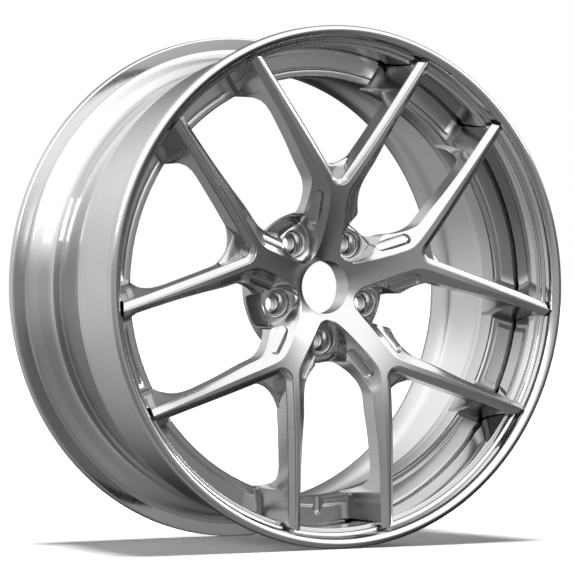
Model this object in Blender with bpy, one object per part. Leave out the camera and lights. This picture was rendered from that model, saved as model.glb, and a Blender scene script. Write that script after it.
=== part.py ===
"""Two-piece forged racing wheel, 20 x 8.5J, five pairs of spokes.

The forged centre is bolted from behind to a flange inside the barrel. The axle
line is Y, the street side faces -Y, and the origin is the middle of the wheel.
Sizes are in millimetres and become metres when a mesh is made.
Depths ("y") are counted backwards from the front outer edge of the flange.
"""

from math import cos
from math import hypot
from math import pi
from math import radians
from math import sin
from math import sqrt

import bmesh
import bpy
from mathutils import Matrix
from mathutils import Vector

MM = 0.001

# ---- overall sizes -------------------------------------------------------
FLANGE_R = 271.3
REAR_EDGE_Y = 234.9
LIP_ROLL = 3.5
MID_Y = REAR_EDGE_Y / 2
SEGMENTS = 40

# ---- barrel --------------------------------------------------------------
FLANGE_FLAT = 8.0
FLANGE_HEIGHT = 17.3
BEAD_R = FLANGE_R - FLANGE_HEIGHT
LIP_STEP_Y = 16.0
LIP_WALL_FRONT_R = FLANGE_R - 20.3
LIP_WALL_BACK_R = FLANGE_R - 22.5
BARREL_WALL = 5.0
HUMP_DIP = 2.2
WELL_R = FLANGE_R - 34.3
WELL_WALL = 4.2
WELL_BACK = 34.0
WELL_FRONT = 56.0
SLOPE_EDGE_BACK = 68.5
REAR_CORNER_BACK = 21.5

# ---- joint between the centre and the barrel -----------------------------
RING_FACE_Y = 54.3
RING_THICKNESS = 20.0
RING_BACK_Y = RING_FACE_Y + RING_THICKNESS
RING_OUTER_R = FLANGE_R - 25.8
RING_INNER_R = FLANGE_R - 51.0
BORDER_WIDTH = 9.5
BORDER_RISE = 1.9
REGISTER_GAP = 0.3
SEAM_DEPTH = 6.0
MOUNT_FLANGE = 11.4
MOUNT_FACE_Y = RING_BACK_Y + REGISTER_GAP
MOUNT_BACK_Y = MOUNT_FACE_Y + MOUNT_FLANGE
FRONT_BEAD_END_Y = MOUNT_BACK_Y + 17.0

# ---- spokes --------------------------------------------------------------
PAIRS = 5
ARM_ANGLE = radians(36.0)
DRAWN_TIP_R = 257.3
TIP_R = FLANGE_R - 14.0
BORE_LIP_Y = 38.1
FACE_POWER = 4.2
FORK_AT = 96.0
FORK_ROUND = 12.8
INNER_SHELF = 6.8
INNER_DROP = 5.0
POCKET_Y = 24.0
POCKET_ROUND = 8.5
WEB_R = 129.0
OUTER_DROP = 6.3
ARM_BACK_Y = 27.0
ROOT_BACK_Y = 38.0

# ---- hub -----------------------------------------------------------------
LUG_COUNT = 5
LUG_CIRCLE_R = 56.0
CENTRE_BORE_R = 33.3
BORE_LIP_R = 28.0
BORE_STEP_Y = 59.0
HUB_FACE_Y = 72.5
HUB_R = 80.5
LAND_Y = 44.0
COUNTERBORE_R = 15.0
COUNTERBORE_Y = 51.0
SEAT_POCKET_R = 13.0
SEAT_POCKET_Y = 64.0
STUD_HOLE_R = 7.5
SEAT_GAP = 0.3
SEAT_EDGE = 1.1
SEAT_CONE_R = SEAT_POCKET_R - SEAT_GAP - SEAT_EDGE
SEAT_CONE_DEPTH = 7.2
PILL_LATERAL = 22.3
PILL_R = 5.2
PILL_FROM = 70.0
PILL_TO = 95.0
PILL_Y = 25.5

# ---- assembly bolts ------------------------------------------------------
BOLT_COUNT = 20
BOLT_CIRCLE_R = FLANGE_R - 38.3
BOLT_SHANK_R = 3.7
BOLT_HOLE_R = 4.0
BOLT_CLEAR_R = 4.3
BOLT_TIP_Y = 60.6
BOLT_HOLE_Y = 60.0
BOLT_COLLAR_R = 7.2
BOLT_COLLAR = 1.6
BOLT_HEAD_R = 5.4
BOLT_HEAD = 7.0
BOLT_GAP = 0.3

# ---- valve and its relief ------------------------------------------------
VALVE_Y = MOUNT_BACK_Y + 12.5
VALVE_FIT = 0.03
VALVE_HOLE_R = 5.75
VALVE_SHANK_R = 5.3
VALVE_HEAD_R = 7.6
VALVE_HEAD = 2.4
VALVE_SEAL = 2.5
VALVE_SEAL_R = 8.2
VALVE_GAP = 0.3
VALVE_WASHER = 1.5
VALVE_WASHER_R = 8.2
VALVE_NUT = 5.0
VALVE_NUT_CORNER_R = 8.1
VALVE_NUT_HOLE_R = 6.5
VALVE_NECK_R = 3.8
VALVE_STEM_END_R = FLANGE_R - 46.5
VALVE_STEM_STEP_R = FLANGE_R - 35.5
VALVE_BORE_R = 2.5
VALVE_CORE_R = 2.3
VALVE_CORE_LENGTH = 14.0
VALVE_PIN_R = 0.8
VALVE_PIN_GAP = 0.08
VALVE_PIN_LENGTH = 18.0
VALVE_CAP_R = 5.0
VALVE_CAP_WALL = 0.9
VALVE_CAP_END_R = FLANGE_R - 49.0
VALVE_CAP_LENGTH = 9.0
RELIEF_R = 6.0
RELIEF_Y = 53.0
RELIEF_CYLINDER_END = 235.0
RELIEF_CONE_END = 241.0


# ---- helpers -------------------------------------------------------------
def material(name, colour, metallic, roughness):
    made = bpy.data.materials.new(name)
    made.use_nodes = True
    shader = made.node_tree.nodes["Principled BSDF"]
    shader.inputs["Base Color"].default_value = (*colour, 1.0)
    shader.inputs["Metallic"].default_value = metallic
    shader.inputs["Roughness"].default_value = roughness
    made.diffuse_color = (*colour, 1.0)
    return made


def solid(name, points, faces, look=None):
    """A mesh object from points (x, y depth, z) in millimetres."""
    mesh = bpy.data.meshes.new(name)
    placed = [(x * MM, (y - MID_Y) * MM, z * MM) for x, y, z in points]
    mesh.from_pydata(placed, [], faces)
    shape = bmesh.new()
    shape.from_mesh(mesh)
    bmesh.ops.remove_doubles(shape, verts=shape.verts, dist=2e-6)
    bmesh.ops.dissolve_degenerate(shape, edges=shape.edges, dist=1e-6)
    bmesh.ops.recalc_face_normals(shape, faces=shape.faces)
    shape.to_mesh(mesh)
    shape.free()
    made = bpy.data.objects.new(name, mesh)
    bpy.context.scene.collection.objects.link(made)
    if look is None:
        made.hide_render = True
        made.display_type = "WIRE"
    else:
        mesh.materials.append(look)
    return made


def closed_lathe(profile, place, steps):
    """Points and faces of a closed profile of (radius, along) turned once."""
    points = []
    for step in range(steps):
        angle = 2 * pi * (step + 0.5) / steps
        for radius, along in profile:
            points.append(place(radius * sin(angle), along, radius * cos(angle)))
    count = len(profile)
    faces = []
    for step in range(steps):
        here = step * count
        there = (step + 1) % steps * count
        for i in range(count):
            j = (i + 1) % count
            if profile[i][0] or profile[j][0]:
                faces.append((here + i, here + j, there + j, there + i))
    return points, faces


def on_axle(x, along, z):
    return (x, along, z)


def beside_axle(x0, z0):
    def place(x, along, z):
        return (x0 + x, along, z0 + z)

    return place


def turned(name, profile, place, steps, look=None):
    """A turned body; radius 0 points are joined on the axis."""
    points, faces = closed_lathe(profile, place, steps)
    return solid(name, points, faces, look)


def clock(angle, along, lateral):
    """(x, z) of a point along an axis pointing at this clock angle."""
    x = along * sin(angle) + lateral * cos(angle)
    z = along * cos(angle) - lateral * sin(angle)
    return x, z


def cut(target, cutter):
    modifier = target.modifiers.new("cut " + cutter.name, "BOOLEAN")
    modifier.operation = "DIFFERENCE"
    modifier.solver = "EXACT"
    modifier.object = cutter


def joined(name, cutters):
    """One cutter mesh from several that don't touch each other."""
    shape = bmesh.new()
    for cutter in cutters:
        shape.from_mesh(cutter.data)
    mesh = bpy.data.meshes.new(name)
    shape.to_mesh(mesh)
    shape.free()
    for cutter in cutters:
        bpy.data.objects.remove(cutter)
    made = bpy.data.objects.new(name, mesh)
    bpy.context.scene.collection.objects.link(made)
    made.hide_render = True
    made.display_type = "WIRE"
    return made


def settle(target):
    """Bakes the cuts in, and leaves flat shading with sharp edges marked."""
    graph = bpy.context.evaluated_depsgraph_get()
    baked = bpy.data.meshes.new_from_object(target.evaluated_get(graph))
    target.modifiers.clear()
    target.data = baked
    shape = bmesh.new()
    shape.from_mesh(baked)
    bmesh.ops.remove_doubles(shape, verts=shape.verts, dist=5e-6)
    bmesh.ops.dissolve_degenerate(shape, edges=shape.edges, dist=2e-6)
    bmesh.ops.dissolve_limit(
        shape, angle_limit=radians(0.6), verts=shape.verts, edges=shape.edges
    )
    bmesh.ops.triangulate(shape, faces=shape.faces)
    shape.to_mesh(baked)
    shape.free()
    baked.shade_smooth()
    baked.set_sharp_from_angle(angle=radians(28))


def smooth(target):
    target.data.shade_smooth()
    target.data.set_sharp_from_angle(angle=radians(35))
    return target


def set_origin(target, x, y, z):
    """Moves the object's origin to a point and leaves its surface in place."""
    place = Vector((x * MM, (y - MID_Y) * MM, z * MM))
    target.data.transform(Matrix.Translation(-place))
    target.location = place


# ---- the front face and the window outlines ------------------------------
GROW = TIP_R / DRAWN_TIP_R


def face_y(radius):
    """Depth of the concave front face at a radius."""
    left = max(0.0, TIP_R - radius) / (TIP_R - BORE_LIP_R)
    return BORE_LIP_Y * left**FACE_POWER


def between(table, value):
    """Straight-line reading of a table of (value, result)."""
    if value <= table[0][0]:
        return table[0][1]
    for (low, a), (high, b) in zip(table, table[1:]):
        if value <= high:
            return a + (b - a) * (value - low) / (high - low)
    return table[-1][1]


def arm_line(start, radius):
    """Sideways distance at which an arm's edge line crosses a radius."""
    if radius <= start:
        return 0.0
    slope = sin(ARM_ANGLE) / cos(ARM_ANGLE)
    a = 1 + slope * slope
    b = -2 * start * slope * slope
    c = start * start * slope * slope - radius * radius
    along = (-b + sqrt(b * b - 4 * a * c)) / (2 * a)
    return (along - start) * slope


def rounded_fork(start, nose, radius):
    """arm_line with its corner rounded to the nose radius."""
    centre = start + nose / sin(ARM_ANGLE)
    touch_along = centre - nose * sin(ARM_ANGLE)
    touch = hypot(touch_along, nose * cos(ARM_ANGLE))
    if radius >= touch:
        return arm_line(start, radius)
    if radius <= centre - nose:
        return 0.0
    along = (radius * radius + centre * centre - nose * nose) / (2 * centre)
    return sqrt(max(0.0, radius * radius - along * along))


# Each row: radius, edge of the face, foot of the flank, its depth below the
# face, foot of the wall, ledge depth, edge of the through hole, floor depth.
THROUGH = 125.0


def fork_rows():
    """Half sections of the opening inside one pair of arms."""
    rows = []
    shelf_at = FORK_AT * GROW + INNER_SHELF / sin(ARM_ANGLE)
    tip = FORK_AT * GROW + FORK_ROUND / sin(ARM_ANGLE) - FORK_ROUND
    pocket_tip = shelf_at + POCKET_ROUND / sin(ARM_ANGLE) - POCKET_ROUND
    web = max(WEB_R * GROW, pocket_tip + 8)
    radii = [tip + 0.05, tip + 1.6, tip + 5.2]
    radii += [pocket_tip + 0.05, pocket_tip + 1.2]
    radii += [web, web + 0.1, web + 2.5, web + 10.0]
    radii += [r * GROW for r in (165, 190)]
    rim = RING_INNER_R
    radii += [rim - 12, rim - 6, rim - 2, rim - 0.2, rim]
    radii += [rim + 3, rim + BORDER_WIDTH - 2, rim + BORDER_WIDTH]
    radii += [rim + 16, RING_OUTER_R + 1, TIP_R + 8]
    corner = [(web + 0.1, 0.45), (web + 2.5, 0.8)]
    corner.append((web + 10.0, 1.0))
    foot = [(rim - 20, 0.0), (rim - 12, 1.2), (rim - 6, 3.4)]
    foot += [(rim - 2, 6.4), (rim - 0.2, 9.5)]
    foot += [(rim, 9.5), (RING_OUTER_R, 8.5), (TIP_R + 8, 7.0)]
    for radius in radii:
        edge = rounded_fork(FORK_AT * GROW, FORK_ROUND, radius)
        shelf = rounded_fork(shelf_at, POCKET_ROUND, radius)
        shelf = min(shelf, edge * 0.92)
        drop = INNER_DROP * min(1.0, 0.25 + edge / 14)
        flare = between(foot, radius)
        wall = max(shelf - flare * 0.55, 0.0)
        base = max(shelf - flare, 0.0)
        if radius < pocket_tip:
            ledge = face_y(radius) + drop + 0.4
            hole = wall
            floor = ledge
            wall = shelf
        elif radius <= web:
            ledge = POCKET_Y
            hole = base * (0.42 if radius == web else 1.0)
            floor = POCKET_Y
        elif radius < rim:
            ledge = POCKET_Y if radius < web + 10 else RING_FACE_Y - 8
            hole = base * between(corner, radius)
            floor = THROUGH
        else:
            ledge = RING_FACE_Y - 8
            hole = base
            floor = ring_face(radius)
        rows.append((radius, edge, shelf, drop, wall, ledge, hole, floor))
    return rows


def ring_face(radius):
    """Depth of the ring's front face, with its raised inner border."""
    border = RING_INNER_R + BORDER_WIDTH
    table = [(RING_INNER_R, RING_FACE_Y + 1.2)]
    table.append((RING_INNER_R + 3, RING_FACE_Y - BORDER_RISE))
    table.append((border - 2, RING_FACE_Y - BORDER_RISE))
    table.append((border, RING_FACE_Y))
    return between(table, radius)


def gap_rows():
    """Half sections of the opening between two pairs, from the bore out."""
    edge_at = [(34.5, 1.5), (36.0, 6.0), (39.0, 10.6), (44.0, 14.6)]
    edge_at += [(50.0, 18.8), (56.0, 22.8), (64.5, 28.3), (74.7, 35.0)]
    edge_at += [(85.7, 41.5), (94.0, 46.3), (98.5, 48.4), (103.4, 49.6)]
    edge_at += [(112.5, 50.3), (132.8, 50.6), (154.5, 50.9)]
    edge_at += [(206.8, 52.6), (256.8, 54.3), (266.0, 54.6)]
    shelf_at = [(34.5, 0.8), (36.0, 3.6), (39.0, 7.4), (44.0, 11.6)]
    shelf_at += [(50.0, 15.4), (56.0, 18.6), (64.5, 21.6), (74.7, 22.4)]
    shelf_at += [(80.4, 20.5), (83.0, 20.4), (86.8, 23.0), (92.0, 27.4)]
    shelf_at += [(97.0, 30.9), (109.8, 38.0), (119.2, 40.7), (136.6, 41.8)]
    shelf_at += [(162.2, 44.4), (185.0, 46.2), (197.0, 46.9), (257.0, 48.6)]
    drop_at = [(34.5, 0.6), (39.0, 3.0), (44.0, 3.8), (56.0, 6.0)]
    drop_at += [(64.5, 7.8), (74.7, 10.0), (85.7, 12.0), (97.0, 11.6)]
    drop_at += [(109.8, 8.4), (119.2, OUTER_DROP), (220.0, OUTER_DROP)]
    drop_at += [(257.0, 5.0)]
    land_at = [(34.5, 0.6), (36.0, 2.6), (39.0, 6.0), (44.0, 10.0)]
    land_at += [(50.0, 13.6), (56.0, 16.4), (64.5, 18.6), (72.0, 18.4)]
    land_at += [(80.4, 15.0)]
    depth_at = [(34.5, 36.0), (36.0, 38.5), (39.0, 42.0), (44.0, LAND_Y)]
    depth_at += [(71.5, LAND_Y), (80.4, 68.0)]
    rim = RING_INNER_R
    foot = [(rim - 20, 0.0), (rim - 12, 1.2), (rim - 6, 3.4)]
    foot += [(rim - 2, 6.4), (rim - 0.2, 9.5)]
    foot += [(rim, 9.5), (RING_OUTER_R, 8.5), (TIP_R + 8, 7.0)]
    drawn = [34.5, 36.0, 39.0, 44.0, 56.0, 64.5, 71.5, 80.4]
    drawn += [80.5, 83.0, 86.8, 97.0, 109.8, 119.2]
    drawn += [136.6, 165.0, 190.0]
    radii = [r * GROW if r > 100 else r for r in drawn]
    radii += [rim - 12, rim - 6, rim - 2, rim - 0.2, rim]
    radii += [rim + 3, rim + BORDER_WIDTH - 2, rim + BORDER_WIDTH]
    radii += [rim + 16, RING_OUTER_R + 1, TIP_R + 8]
    rows = []
    for radius in radii:
        mark = radius / GROW if radius > 100 * GROW else radius
        edge = between(edge_at, mark)
        shelf = between(shelf_at, mark)
        drop = between(drop_at, mark)
        if mark <= 80.4:
            land = between(land_at, mark)
            floor = between(depth_at, mark)
            rows.append((radius, edge, shelf, drop, land, floor, land, floor))
            continue
        flare = between(foot, radius)
        wall = shelf - flare * 0.55
        base = shelf - flare
        if radius < rim:
            ledge = min(face_y(radius) + drop + 12, RING_FACE_Y - 8)
            if radius > 190 * GROW:
                ledge = RING_FACE_Y - 8
            start = 15.0 if mark < 81 else base
            wall = min(wall, start) if mark < 81 else wall
            rows.append((radius, edge, shelf, drop, wall, ledge, start, THROUGH))
        else:
            ledge = RING_FACE_Y - 8
            floor = ring_face(radius)
            rows.append((radius, edge, shelf, drop, wall, ledge, base, floor))
    return rows


ABOVE_Y = -20.0
FLOOR_STEPS = 4


def opening(name, angle, rows):
    """Cutter through half sections that lie on circles around the axle."""
    rings = []
    for radius, edge, shelf, drop, wall, ledge, hole, floor in rows:
        top = face_y(radius)
        rise = drop * 1.5 / max(edge - shelf, 0.5)
        rise = min(rise, top + 10)
        half = [(edge + 1.5, ABOVE_Y), (edge + 1.5, top - rise)]
        half += [(edge, top), (shelf, top + drop), (wall, ledge)]
        half += [(hole, ledge), (hole, floor)]
        half = [(max(v, 0.9 - 0.1 * i), y) for i, (v, y) in enumerate(half)]
        section = list(half)
        for step in range(1, FLOOR_STEPS):
            section.append((hole * (1 - 2 * step / FLOOR_STEPS), floor))
        section += [(-v, y) for v, y in reversed(half)]
        ring = []
        for v, y in section:
            along = sqrt(max(radius * radius - v * v, 0.0))
            if radius == rows[0][0]:
                along = radius
            if radius == rows[-1][0]:
                along = TIP_R + 25
            x, z = clock(angle, along, v)
            ring.append((x, y, z))
        rings.append(ring)
    count = len(rings[0])
    points = [point for ring in rings for point in ring]
    faces = []
    for i in range(len(rings) - 1):
        for j in range(count):
            k = (j + 1) % count
            here = i * count
            there = here + count
            faces.append((here + j, here + k, there + k, there + j))
    last = (len(rings) - 1) * count
    faces.append(tuple(range(count - 1, -1, -1)))
    faces.append(tuple(range(last, last + count)))
    return solid(name, points, faces)


# ---- build ---------------------------------------------------------------
for old in list(bpy.data.objects):
    bpy.data.objects.remove(old)

FORGED = material("forged_centre_metal", (0.36, 0.36, 0.37), 1.0, 0.28)
POLISHED = material("barrel_metal", (0.62, 0.62, 0.63), 1.0, 0.14)
STEEL = material("lug_seat_steel", (0.42, 0.42, 0.43), 1.0, 0.30)
BOLT = material("assembly_bolt_steel", (0.30, 0.30, 0.31), 1.0, 0.35)
BRASS = material("valve_brass", (0.55, 0.50, 0.38), 1.0, 0.30)
RUBBER = material("valve_rubber", (0.02, 0.02, 0.02), 0.0, 0.70)
PLASTIC = material("valve_cap_plastic", (0.03, 0.03, 0.03), 0.0, 0.45)


def build_centre():
    profile = [(BORE_LIP_R, BORE_LIP_Y)]
    for drawn in (33, 38, 44, 51, 60, 72, 88, 108, 140, 190):
        radius = drawn * GROW if drawn > 100 else drawn
        profile.append((radius, face_y(radius)))
    profile.append((TIP_R, face_y(TIP_R) + 0.02))
    profile.append((TIP_R - 4.2, 7.5))
    profile.append((TIP_R - 7.2, 15.0))
    profile.append((TIP_R - 8.6, 32.0))
    profile.append((TIP_R - 9.9, RING_FACE_Y - 0.3))
    profile.append((RING_OUTER_R, RING_FACE_Y))
    profile.append((RING_OUTER_R, RING_BACK_Y))
    profile.append((RING_INNER_R - 1.6, RING_BACK_Y))
    profile.append((RING_INNER_R - 3.0, 58.0))
    profile.append((RING_INNER_R - 7.0, 40.0))
    profile.append((RING_INNER_R - 15.0, ARM_BACK_Y + 1))
    profile.append((195.0 * GROW, ARM_BACK_Y - 2))
    profile.append((160.0 * GROW, ARM_BACK_Y))
    profile.append((125.0 * GROW, ARM_BACK_Y + 4))
    profile.append((92.0, ROOT_BACK_Y))
    profile.append((HUB_R + 5.5, ROOT_BACK_Y + 6))
    profile.append((HUB_R + 3.0, HUB_FACE_Y - 2))
    profile.append((HUB_R + 1.0, HUB_FACE_Y))
    profile.append((CENTRE_BORE_R + 1.0, HUB_FACE_Y))
    profile.append((CENTRE_BORE_R, HUB_FACE_Y - 1.0))
    profile.append((CENTRE_BORE_R, BORE_STEP_Y))
    profile.append((BORE_LIP_R, BORE_STEP_Y))
    centre = turned("forged_centre", profile, on_axle, SEGMENTS, FORGED)
    forks = []
    gaps = []
    for pair in range(PAIRS):
        angle = 2 * pi * pair / PAIRS
        forks.append(opening("fork", angle, fork_rows()))
        gaps.append(opening("gap", angle + pi / PAIRS, gap_rows()))
    cut(centre, joined("bolt_holes", bolt_cutters(BOLT_HOLE_R, BOLT_HOLE_Y, 80.0)))
    cut(centre, valve_relief())
    cut(centre, joined("lug_bores", lug_cutters()))
    cut(centre, joined("flank_pockets", pill_cutters()))
    cut(centre, joined("fork_openings", forks))
    cut(centre, joined("gap_openings", gaps))
    settle(centre)
    return centre


def lug_cutters():
    made = []
    for lug in range(LUG_COUNT):
        angle = 2 * pi * (lug + 0.5) / LUG_COUNT
        x, z = clock(angle, LUG_CIRCLE_R, 0.0)
        profile = [(0, 5), (COUNTERBORE_R, 5), (COUNTERBORE_R, COUNTERBORE_Y)]
        profile += [(SEAT_POCKET_R, COUNTERBORE_Y), (SEAT_POCKET_R, SEAT_POCKET_Y)]
        profile += [(STUD_HOLE_R, SEAT_POCKET_Y), (STUD_HOLE_R, 85), (0, 85)]
        made.append(turned("lug", profile, beside_axle(x, z), 20))
    return made


def pill_cutters():
    made = []
    for pair in range(PAIRS):
        angle = 2 * pi * pair / PAIRS
        for side in (-1, 1):
            outline = []
            for step in range(5):
                turn = pi * step / 4
                along = PILL_TO + PILL_R * sin(turn)
                outline.append((along, PILL_LATERAL + PILL_R * cos(turn)))
            for step in range(5):
                turn = pi + pi * step / 4
                along = PILL_FROM + PILL_R * sin(turn)
                outline.append((along, PILL_LATERAL + PILL_R * cos(turn)))
            count = len(outline)
            points = []
            for y in (0.0, PILL_Y):
                for along, lateral in outline:
                    x, z = clock(angle, along, side * lateral)
                    points.append((x, y, z))
            faces = [tuple(range(count)), tuple(range(2 * count - 1, count - 1, -1))]
            for i in range(count):
                j = (i + 1) % count
                faces.append((i, j, count + j, count + i))
            made.append(solid("pill", points, faces))
    return made


def bolt_places():
    places = []
    for bolt in range(BOLT_COUNT):
        angle = 2 * pi * (bolt + 0.5) / BOLT_COUNT
        places.append(clock(angle, BOLT_CIRCLE_R, 0.0))
    return places


def bolt_cutters(radius, start, end):
    made = []
    for x, z in bolt_places():
        profile = [(0, start), (radius, start), (radius, end), (0, end)]
        made.append(turned("bolt_hole", profile, beside_axle(x, z), 8))
    return made


def radial(y):
    """Places a turned profile on the radial line at the foot of the wheel."""

    def place(a, along, b):
        return (a, y + b, -along)

    return place


def valve_relief():
    profile = [(0, RING_INNER_R - 8), (RELIEF_R, RING_INNER_R - 8)]
    profile += [(RELIEF_R, RELIEF_CYLINDER_END), (0, RELIEF_CONE_END)]
    return turned("valve_relief", profile, radial(RELIEF_Y), 20)


def build_barrel():
    rear = REAR_EDGE_Y
    inner_front_y = MOUNT_BACK_Y + 4.5
    outer = [(FLANGE_R, 0.0), (FLANGE_R, FLANGE_FLAT)]
    outer += [(BEAD_R + 6.5, FLANGE_FLAT + 1.6)]
    outer += [(BEAD_R + 1.8, FLANGE_FLAT + 3.6), (BEAD_R, FLANGE_FLAT + 8.2)]
    outer += [(BEAD_R, FRONT_BEAD_END_Y), (BEAD_R - HUMP_DIP, FRONT_BEAD_END_Y + 4)]
    outer += [(BEAD_R - HUMP_DIP, FRONT_BEAD_END_Y + 9)]
    outer += [(BEAD_R - 4.2, FRONT_BEAD_END_Y + 16)]
    outer += [(BEAD_R - 10.2, rear - SLOPE_EDGE_BACK)]
    outer += [(WELL_R, rear - WELL_FRONT), (WELL_R, rear - WELL_BACK)]
    outer += [(BEAD_R - 6.8, rear - REAR_CORNER_BACK)]
    outer += [(BEAD_R, rear - FLANGE_FLAT - 3.0)]
    outer += [(FLANGE_R - 1.2, rear - FLANGE_FLAT - 1.2), (FLANGE_R, rear - FLANGE_FLAT)]
    outer += [(FLANGE_R, rear), (FLANGE_R - 5.3, rear + LIP_ROLL)]
    inner = [(FLANGE_R - 12.0, rear - 1.0), (BEAD_R - 5.0, rear - 10.5)]
    inner += [(BEAD_R - 11.3, rear - REAR_CORNER_BACK + 1.5)]
    inner += [(WELL_R - WELL_WALL, rear - WELL_BACK + 1)]
    inner += [(WELL_R - WELL_WALL, rear - WELL_FRONT - 1)]
    inner += [(BEAD_R - 15.0, rear - SLOPE_EDGE_BACK - 1)]
    inner += [(BEAD_R - BARREL_WALL, FRONT_BEAD_END_Y + 7)]
    inner += [(BEAD_R - BARREL_WALL, inner_front_y)]
    inner += [(BEAD_R - BARREL_WALL - 4.5, MOUNT_BACK_Y)]
    inner += [(RING_INNER_R, MOUNT_BACK_Y), (RING_INNER_R, MOUNT_FACE_Y)]
    inner += [(RING_OUTER_R + REGISTER_GAP, MOUNT_FACE_Y)]
    inner += [(RING_OUTER_R + REGISTER_GAP, RING_FACE_Y + SEAM_DEPTH)]
    inner += [(LIP_WALL_BACK_R, RING_FACE_Y + SEAM_DEPTH)]
    inner += [(LIP_WALL_BACK_R, RING_FACE_Y), (LIP_WALL_FRONT_R, LIP_STEP_Y + 0.6)]
    inner += [(FLANGE_R - 14.9, LIP_STEP_Y), (FLANGE_R - 11.6, 2.0)]
    inner += [(FLANGE_R - 9.0, -LIP_ROLL * 0.55), (FLANGE_R - 5.3, -LIP_ROLL)]
    inner += [(FLANGE_R - 2.0, -LIP_ROLL * 0.7)]
    barrel = turned("barrel", outer + inner, on_axle, SEGMENTS, POLISHED)
    cut(barrel, joined("barrel_bolt_holes", bolt_cutters(BOLT_CLEAR_R, 66.0, 95.0)))
    hole = [(0, BEAD_R - 14), (VALVE_HOLE_R, BEAD_R - 14)]
    hole += [(VALVE_HOLE_R, BEAD_R + 5), (0, BEAD_R + 5)]
    cut(barrel, turned("valve_hole", hole, radial(VALVE_Y), 20))
    settle(barrel)
    return barrel


def build_seats():
    for lug in range(LUG_COUNT):
        angle = 2 * pi * (lug + 0.5) / LUG_COUNT
        x, z = clock(angle, LUG_CIRCLE_R, 0.0)
        outer = SEAT_POCKET_R - SEAT_GAP
        top = COUNTERBORE_Y + 0.3
        foot = SEAT_POCKET_Y - SEAT_GAP
        profile = [(outer - 0.6, top), (outer, top + 0.6), (outer, foot)]
        profile += [(STUD_HOLE_R, foot), (STUD_HOLE_R, top + SEAT_CONE_DEPTH)]
        profile += [(SEAT_CONE_R, top)]
        look = STEEL.copy()
        look.name = f"lug_seat_{lug + 1}_steel"
        made = turned(f"lug_seat_{lug + 1}", profile, beside_axle(x, z), 20, look)
        smooth(made)


def build_bolts():
    """Flange-head bolts, put in from behind. The head has twelve points."""
    seat = MOUNT_BACK_Y + BOLT_GAP
    for number, (x, z) in enumerate(bolt_places(), 1):
        profile = [(0, BOLT_TIP_Y), (BOLT_SHANK_R, BOLT_TIP_Y), (BOLT_SHANK_R, seat)]
        profile += [(BOLT_COLLAR_R, seat), (BOLT_COLLAR_R, seat + BOLT_COLLAR)]
        profile += [(BOLT_HEAD_R, seat + BOLT_COLLAR)]
        profile += [(BOLT_HEAD_R, seat + BOLT_HEAD), (0, seat + BOLT_HEAD)]
        look = BOLT.copy()
        look.name = f"assembly_bolt_{number:02d}_steel"
        name = f"assembly_bolt_{number:02d}"
        made = turned(name, profile, beside_axle(x, z), 8, look)
        smooth(made)


def build_valve():
    """Clamp-in valve, radial, behind the mounting flange."""
    place = radial(VALVE_Y)
    out = BEAD_R + VALVE_GAP
    seal_end = out + VALVE_SEAL
    seal = [(VALVE_HOLE_R, out), (VALVE_SEAL_R, out), (VALVE_SEAL_R, seal_end)]
    seal.append((VALVE_HOLE_R, seal_end))
    smooth(turned("valve_seal", seal, place, 12, RUBBER))
    head = seal_end + VALVE_GAP
    stem = [(VALVE_BORE_R, VALVE_STEM_END_R), (VALVE_NECK_R, VALVE_STEM_END_R)]
    stem += [(VALVE_NECK_R, VALVE_STEM_STEP_R), (VALVE_SHANK_R, VALVE_STEM_STEP_R)]
    stem += [(VALVE_SHANK_R, head), (VALVE_HEAD_R, head)]
    stem += [(VALVE_HEAD_R, head + VALVE_HEAD), (VALVE_BORE_R, head + VALVE_HEAD)]
    smooth(turned("valve_stem", stem, place, 12, BRASS))
    # The lathe has flats, and the washer lies under the middle of one.
    top = (BEAD_R - BARREL_WALL) * cos(pi / SEGMENTS) - VALVE_FIT
    washer = [(VALVE_HOLE_R, top - VALVE_WASHER), (VALVE_WASHER_R, top - VALVE_WASHER)]
    washer += [(VALVE_WASHER_R, top), (VALVE_HOLE_R, top)]
    smooth(turned("valve_washer", washer, place, 12, BRASS.copy()))
    nut_top = top - VALVE_WASHER - VALVE_GAP
    nut = [(VALVE_NUT_HOLE_R, nut_top - VALVE_NUT)]
    nut += [(VALVE_NUT_CORNER_R, nut_top - VALVE_NUT)]
    nut += [(VALVE_NUT_CORNER_R, nut_top), (VALVE_NUT_HOLE_R, nut_top)]
    turned("valve_nut", nut, place, 6, BRASS.copy())
    start = VALVE_STEM_END_R + 1.5
    bore = VALVE_PIN_R + VALVE_PIN_GAP
    core = [(bore, start), (VALVE_CORE_R, start)]
    core += [(VALVE_CORE_R, start + VALVE_CORE_LENGTH)]
    core += [(bore, start + VALVE_CORE_LENGTH)]
    smooth(turned("valve_core", core, place, 12, BRASS.copy()))
    tip = VALVE_STEM_END_R + 0.4
    pin = [(0, tip), (VALVE_PIN_R, tip), (VALVE_PIN_R, tip + VALVE_PIN_LENGTH)]
    pin.append((0, tip + VALVE_PIN_LENGTH))
    valve_pin = smooth(turned("valve_pin", pin, place, 12, STEEL.copy()))
    set_origin(valve_pin, 0.0, VALVE_Y, -tip)
    inner = VALVE_CAP_R - VALVE_CAP_WALL
    rim = VALVE_CAP_END_R + VALVE_CAP_LENGTH
    cap = [(0, VALVE_CAP_END_R), (VALVE_CAP_R, VALVE_CAP_END_R), (VALVE_CAP_R, rim)]
    cap += [(inner, rim), (inner, VALVE_CAP_END_R + 1.2), (0, VALVE_CAP_END_R + 1.2)]
    smooth(turned("valve_cap", cap, place, 12, PLASTIC))


build_centre()
build_barrel()
build_seats()
build_bolts()
build_valve()
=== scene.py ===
"""Looks for the two-piece forged wheel: fine surfaces, metals, studio and camera.

Sizes are in millimetres and become metres when a mesh is made. Depths ("y")
are counted backwards from the front outer edge of the flange.
"""

from math import asin, cos, hypot, pi, radians, sin, sqrt

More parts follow.
